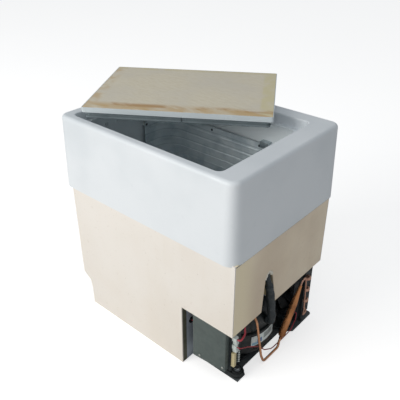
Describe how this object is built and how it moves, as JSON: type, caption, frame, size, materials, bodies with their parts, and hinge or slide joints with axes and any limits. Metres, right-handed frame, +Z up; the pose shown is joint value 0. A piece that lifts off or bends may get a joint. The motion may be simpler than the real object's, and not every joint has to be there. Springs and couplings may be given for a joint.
{
  "type": "ice maker",
  "caption": "Built-in top-loading ice box with a lift-off lid lying askew, a finned cold plate inside and an open machine bay with compressor, fan and condenser.",
  "frame": {"origin": "on the floor, under the plan centre of the white collar", "axes": "+Z up, +X towards the open machine bay, -Y towards the long front face"},
  "size_m": [0.6475, 0.5278, 0.5778],
  "materials": {
    "collar_plastic": "satin moulded, white",
    "liner_plastic": "satin vacuum-formed sheet, white",
    "foam": "rigid foamed polyurethane",
    "skin": "thin cream sheet, unpainted and a little stained",
    "bay_sheet": "blue-grey painted sheet",
    "corner_strip": "dark olive strip",
    "evaporator": "satin, lightly frosted",
    "screw_steel": "zinc plated",
    "nylon": "plain moulded",
    "seal_foam": "soft white foam",
    "rubber": "matt",
    "plate_steel": "grey painted steel",
    "shell_paint": "semi-gloss black",
    "bracket_steel": "black",
    "lamination": "dark steel laminations",
    "casting": "machined",
    "spring_steel": "plain",
    "name_plate": null,
    "electronics_plastic": "dark grey-green, matt",
    "electronics_base": "black",
    "circuit": "lacquered board",
    "terminal_white": "moulded sleeves",
    "connector_cream": "moulded",
    "tinned": "tinned tab",
    "fan_plastic": "black glass-filled",
    "duct_steel": "black",
    "fin_aluminium": "dark coated",
    "copper": "drawn copper tube, tarnished",
    "drier_copper": "spun copper",
    "sleeve_foam": "closed-cell, matt",
    "wire_red": "insulated",
    "board": "bare, stained along one edge",
    "lid_edge": "satin extruded",
    "lid_seal": "dark grey, soft"
  },
  "bodies": {
    "cabinet": {"collar": "collar_plastic", "inner_liner": "liner_plastic", "insulation_foam": "foam", "front_panel": "skin", "back_panel": "skin", "left_panel": "skin", "right_panel": "skin", "bottom_panel": "skin", "bay_ceiling_panel": "bay_sheet", "bay_side_panel": "bay_sheet", "bay_corner_strip": "corner_strip", "wall_grommets": "rubber", "hose_seal": "seal_foam", "evaporator_plate": "evaporator", "evaporator_screws": "screw_steel", "evaporator_spacers": "nylon", "thermostat_housing": "nylon", "thermostat_sensor_tube": "tinned", "unit_base_plate": "plate_steel", "unit_mount_screws": "screw_steel", "rubber_grommets": "rubber", "grommet_bolts": "screw_steel", "compressor_bracket": "bracket_steel", "compressor_lower_shell": "shell_paint", "compressor_upper_shell": "shell_paint", "compressor_springs": "spring_steel", "compressor_stator": "lamination", "cylinder_block": "casting", "compressor_label": "name_plate", "electronic_unit_cover": "electronics_plastic", "electronic_unit_base": "electronics_base", "circuit_board": "circuit", "cover_screws": "screw_steel", "earth_tab": "tinned", "spade_terminals": "terminal_white", "connector_block": "connector_cream", "pin_comb": "terminal_white", "fan_frame": "fan_plastic", "fan_shroud": "duct_steel", "condenser_fins": "fin_aluminium", "condenser_end_plates": "duct_steel", "condenser_tubes": "copper", "condenser_outlet_line": "copper", "filter_drier": "drier_copper", "liquid_line": "copper", "discharge_line": "copper", "suction_line": "copper", "suction_sleeves": "sleeve_foam", "process_tube": "copper", "power_lead": "wire_red", "fan_lead": "wire_red", "sensor_lead": "wire_red"},
    "lid": {"lid_board": "board", "lid_edge_frame": "lid_edge", "lid_foam_core": "foam", "lid_inner_tray": "liner_plastic", "lid_seal": "lid_seal"},
    "fan": {"fan_rotor": "fan_plastic"},
    "knob": {"thermostat_knob": "nylon"},
    "motor": {"compressor_rotor": "casting"}
  },
  "joints": [
    {"name": "lid_lift", "type": "slide", "parent": "cabinet", "child": "lid", "axis": [0, 0, 1], "range_m": [0, 0.3]},
    {"name": "fan_spin", "type": "hinge", "parent": "cabinet", "child": "fan", "pos_m": [0.195, 0.092, 0.093], "axis": [0, 1, 0], "continuous": true},
    {"name": "knob_turn", "type": "hinge", "parent": "cabinet", "child": "knob", "pos_m": [0.128, -0.13, 0.472], "axis": [0, 1, 0], "range_deg": [-150, 150]},
    {"name": "motor_spin", "type": "hinge", "parent": "cabinet", "child": "motor", "pos_m": [0.193, -0.033, 0.08], "axis": [0, 0, 1], "continuous": true}
  ]
}
